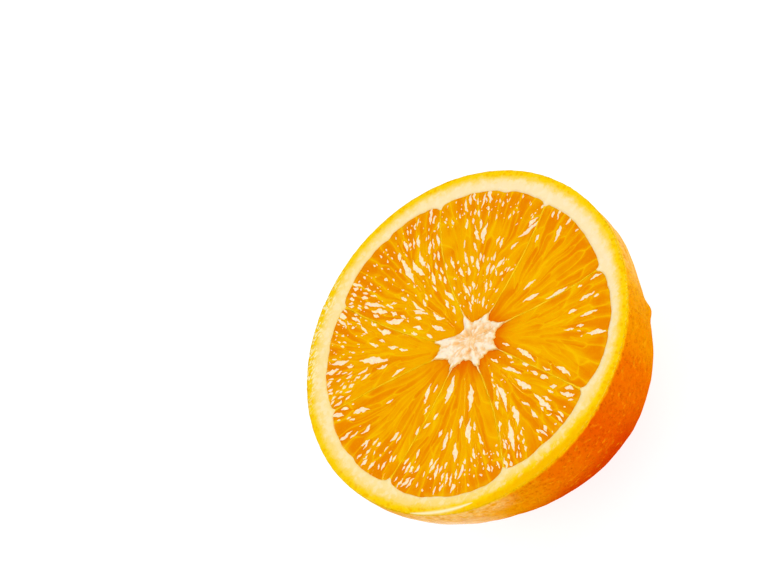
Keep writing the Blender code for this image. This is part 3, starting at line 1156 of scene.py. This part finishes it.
def make_core(finish):
    """Close the star below with rings that shrink to its middle as they sink, and a pole at each end."""
    top, shades = core_surface()
    levels = np.linspace(0.95, 0.3, CORE_RINGS)[:, None, None]
    under = top[None, -1, :, :2] * levels + (1 - levels) * CORE
    under = space(under[..., 0], under[..., 1], FACE - (1.2 + 3 * (1 - levels[..., 0])) * MM)
    poles = [(CORE[0], CORE[1], top[0, :, 2].mean()), (CORE[0], CORE[1], FACE - 3.6 * MM)]
    points = np.concatenate((top.reshape(-1, 3), under.reshape(-1, 3), poles))
    rows = CORE_ROWS + CORE_RINGS
    first = np.arange(CORE_COLUMNS)
    last = first + (rows - 1) * CORE_COLUMNS
    faces = [grid_faces(rows, CORE_COLUMNS, True)[:, ::-1], fan_faces(first, len(points) - 2),
             fan_faces(last, len(points) - 1)[:, ::-1]]
    return make_piece("core", points, faces, with_spare(shades, top.shape[:2], len(points)), finish)


def core_finish():
    """Cream on the ridges, peach between them and in hollows, yellower where juice soaks the edge."""
    core = Finish("spongy_core", IOR=1.35, Specular_IOR_Level=0.1, Subsurface_Weight=0.25,
                  Subsurface_Radius=(1.0, 0.7, 0.45), Subsurface_Scale=0.0015)
    sponge = core.noise(0.0007, 4.0)
    light = core.climb(core.shade("ridge") + (sponge - 0.5) * 1.4, -0.45, 0.45)
    colour = core.mix(light, ink(250, 206, 150), ink(253, 236, 210))
    colour = core.mix(core.shade("hollow") * 0.6, colour, ink(248, 194, 112))
    colour = core.mix(core.shade("soaked") * 0.8, colour, ink(254, 204, 96))
    return core.link(Base_Color=colour, Roughness=0.55 + sponge * 0.2, Normal=core.bump(sponge, 0.00022))


dress(make_core(core_finish()))

# %% [markdown]
# ## Floor
#
# The half rests on a plain pale floor that curves up far away, so that low views look into paper and
# not over an edge.  The profile is flat for the first metre and a half and then rises with the square
# of the distance.  The paper glows a little by itself, which keeps the shadow faint, and the waxy skin
# mirrors it.

# %% Floor
sweep_radius = np.concatenate(([0.05, 0.5, 1.0], np.linspace(1.3, 5.0, 12)))[:, None]
SWEEP_COLUMNS = 64
sweep_turn = np.linspace(0, 2 * np.pi, SWEEP_COLUMNS, endpoint=False)[None, :]
sweep_height = 0.06 * np.clip(sweep_radius - 1.6, 0, None) ** 2
sweep = polar(sweep_radius, sweep_turn, sweep_height)
sweep_points = np.concatenate((sweep.reshape(-1, 3), [(0, 0, 0)]))
sweep_faces = [grid_faces(len(sweep), SWEEP_COLUMNS, True)[:, ::-1],
               fan_faces(np.arange(SWEEP_COLUMNS), len(sweep_points) - 1)]
paper = Finish("pale_floor", Base_Color=(0.40, 0.40, 0.40, 1.0), Roughness=0.9, IOR=1.2,
               Emission_Color=(1.0, 1.0, 1.0, 1.0), Emission_Strength=0.62)
floor = make_piece("floor", sweep_points, sweep_faces, finish=paper)
print("floor reaches", float(sweep_radius.max()), "m")

# %% [markdown]
# ## Light
#
# Soft light from all round shapes the fruit, and is kept out of reflections, so that juice stays deeply
# coloured.  Two round lamps do only the sparkling: one beyond the half to the left, one low on the
# right.  They are yellow, so that a weak flash on orange pulp stays golden.

# %% Light
world = bpy.data.worlds.new("studio")
world.use_nodes = True
world.node_tree.nodes["Background"].inputs["Color"].default_value = (1.0, 1.0, 1.0, 1.0)
world.node_tree.nodes["Background"].inputs["Strength"].default_value = 0.80
world.cycles_visibility.glossy = False
bpy.context.scene.world = world


def lamp(name, azimuth, rise, distance, size, brightness, sparkle):
    """Round lamp facing the middle of the cut; brightness is radiance, so watts are pi * area * that."""
    data = bpy.data.lights.new(name, "AREA")
    data.shape = "DISK"
    data.size = size
    data.energy = math.pi * math.pi * (size / 2) ** 2 * brightness
    data.color = (1.0, 0.90, 0.55) if sparkle else (1.0, 1.0, 1.0)
    lit = bpy.data.objects.new(name, data)
    bpy.context.scene.collection.objects.link(lit)
    away = Vector(direction(azimuth, rise))
    lit.location = Vector((0, 0, FACE)) + away * distance
    lit.rotation_euler = away.to_track_quat("Z", "Y").to_euler()
    lit.visible_camera = False
    lit.visible_glossy = sparkle
    lit.visible_diffuse = not sparkle
    return lit


key = lamp("key_lamp", KEY_AZIMUTH, KEY_RISE, 1.3, 0.44, 3, True)
side = lamp("side_lamp", -3, 7, 1.3, 0.40, 4, True)
soft = lamp("soft_fill", 100, 55, 1.6, 1.2, 0.65, False)
front = lamp("front_fill", -60, 25, 1.6, 1.2, 1.7, False)
print("lamps:", key.name, side.name, soft.name, front.name)

# %% [markdown]
# ## Camera
#
# The camera stands on the near side, a little over 50 degrees up and sixteen radii away, with a long
# lens.  It is rolled clockwise, and it aims beyond the fruit, which puts the half low in the picture.

# %% Camera
DISTANCE = 16.007 * RADIUS
ROLL = math.radians(53.191)
eye = Vector((0, -math.cos(RISE) * DISTANCE, FACE + math.sin(RISE) * DISTANCE))
aim = Vector((-0.0354 * RADIUS, 0.6434 * RADIUS, FACE))
back = (eye - aim).normalized()
level = Vector((0, 0, 1)).cross(back).normalized()
upright = back.cross(level)
right = level * math.cos(ROLL) - upright * math.sin(ROLL)
up = upright * math.cos(ROLL) + level * math.sin(ROLL)
lens = bpy.data.cameras.new("camera")
lens.lens = 139.94
lens.clip_start, lens.clip_end = 0.01, 50
camera = bpy.data.objects.new("camera", lens)
bpy.context.scene.collection.objects.link(camera)
camera.matrix_world = Matrix.Translation(eye) @ Matrix((right, up, back)).transposed().to_4x4()
bpy.context.scene.camera = camera
bpy.context.scene.view_settings.view_transform = "Standard"
bpy.context.scene.view_settings.look = "Medium High Contrast"
print("camera", round(DISTANCE, 3), "m from the cut face")
